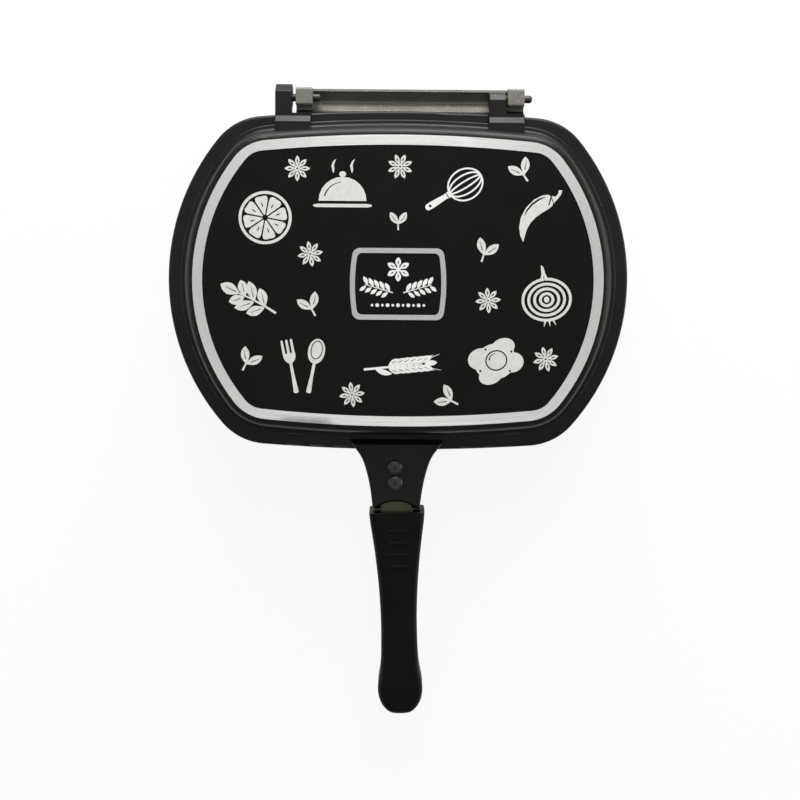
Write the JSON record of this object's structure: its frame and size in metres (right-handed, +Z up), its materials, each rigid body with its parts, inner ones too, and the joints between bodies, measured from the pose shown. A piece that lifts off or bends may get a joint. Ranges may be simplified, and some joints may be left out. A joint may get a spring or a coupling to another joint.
{
  "type": "double sided flip pan",
  "caption": "Hinged flip pan: twin cast halves close on a rim seal, split magnetic grip, drip trough between the hinge lugs, machined ring on the base.",
  "frame": {"origin": "centre of the flat face that the lower half lies on", "axes": "+Z up through both halves, +Y from the grips toward the hinge, +X along the hinge pins, the way they point"},
  "size_m": [0.3588, 0.4939, 0.072],
  "materials": {
    "pan_coating": "matte black baked coating outside, speckled non-stick inside",
    "seal_rubber": "soft silicone, matte",
    "pin_paint": "painted with the pan half",
    "tang_steel": "bare pressed steel",
    "screw_coat": "dark zinc coating",
    "nut_steel": "plain zinc",
    "grip_plastic": "matte phenolic",
    "cup_steel": "nickel plated",
    "magnet_grey": "sintered, dark grey"
  },
  "bodies": {
    "lower": {"lower_pan": "pan_coating", "lower_tang": "tang_steel", "lower_bracket_screws": "screw_coat", "lower_bracket_nuts": "nut_steel", "lower_grip": "grip_plastic", "lower_grip_screw": "screw_coat", "lower_magnet": "magnet_grey", "lower_magnet_cup": "cup_steel", "lower_magnet_screw": "nut_steel"},
    "pins": {"hinge_pin_left": "pin_paint", "hinge_pin_right": "pin_paint"},
    "upper": {"upper_pan": "pan_coating", "rim_gasket": "seal_rubber", "upper_tang": "tang_steel", "upper_bracket_screws": "screw_coat", "upper_bracket_nuts": "nut_steel", "upper_grip": "grip_plastic", "upper_grip_screw": "screw_coat", "upper_magnet": "magnet_grey", "upper_magnet_cup": "cup_steel", "upper_magnet_screw": "nut_steel"}
  },
  "joints": [
    {"name": "pins_slide_out", "type": "slide", "parent": "lower", "child": "pins", "axis": [1, 0, 0], "range_m": [-0.022, 0.0005]},
    {"name": "lid_hinge", "type": "hinge", "parent": "pins", "child": "upper", "pos_m": [0.0005, 0.1415, 0.036], "axis": [-1, 0, 0], "range_deg": [0, 105]}
  ]
}
